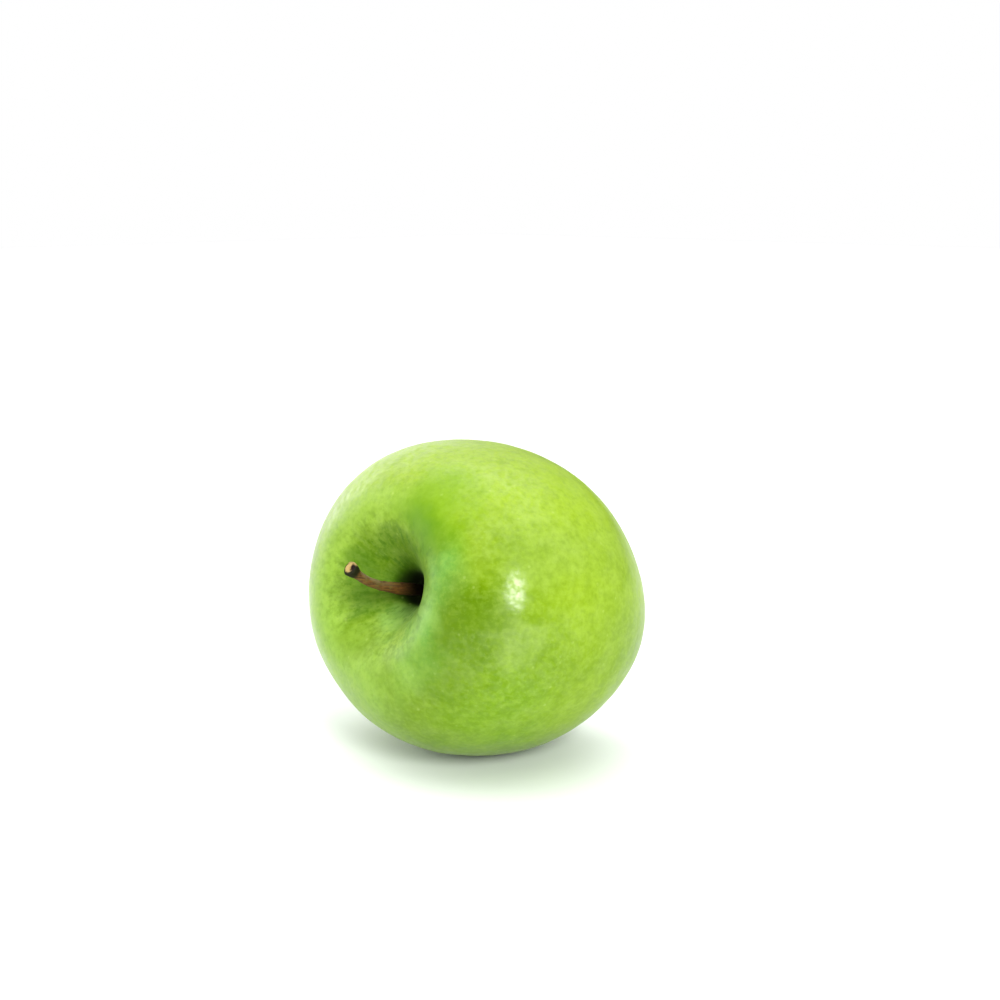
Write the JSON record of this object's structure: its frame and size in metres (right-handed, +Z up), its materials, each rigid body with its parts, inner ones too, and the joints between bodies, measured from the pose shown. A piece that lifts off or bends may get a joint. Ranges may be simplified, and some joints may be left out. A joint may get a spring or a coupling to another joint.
{
  "type": "green apple",
  "caption": "Fresh green apple lying on its side, with its woody stem in the stem cavity and the dried flower in the basin at the other end.",
  "frame": {"origin": "middle of the small flat spot that the fruit lies on", "axes": "+Z up from the resting spot; the core line lies in the YZ plane, with the stem end towards -Y and about 13 degrees above the horizontal"},
  "size_m": [0.0811, 0.0765, 0.0725],
  "materials": {
    "skin": "fresh waxy apple skin, yellow-green, with pale fine mottling and small pale lenticel dots, satin to glossy",
    "stem": "dry reddish-brown woody stem with a paler broken end, matt",
    "sepals": "dried olive-brown sepals with a pale downy nap, matt",
    "stamens": "dried dark brown filaments, matt"
  },
  "bodies": {
    "root": {"flesh_with_skin": "skin", "stem": "stem", "calyx_sepals": "sepals", "calyx_stamens": "stamens"}
  },
  "joints": []
}
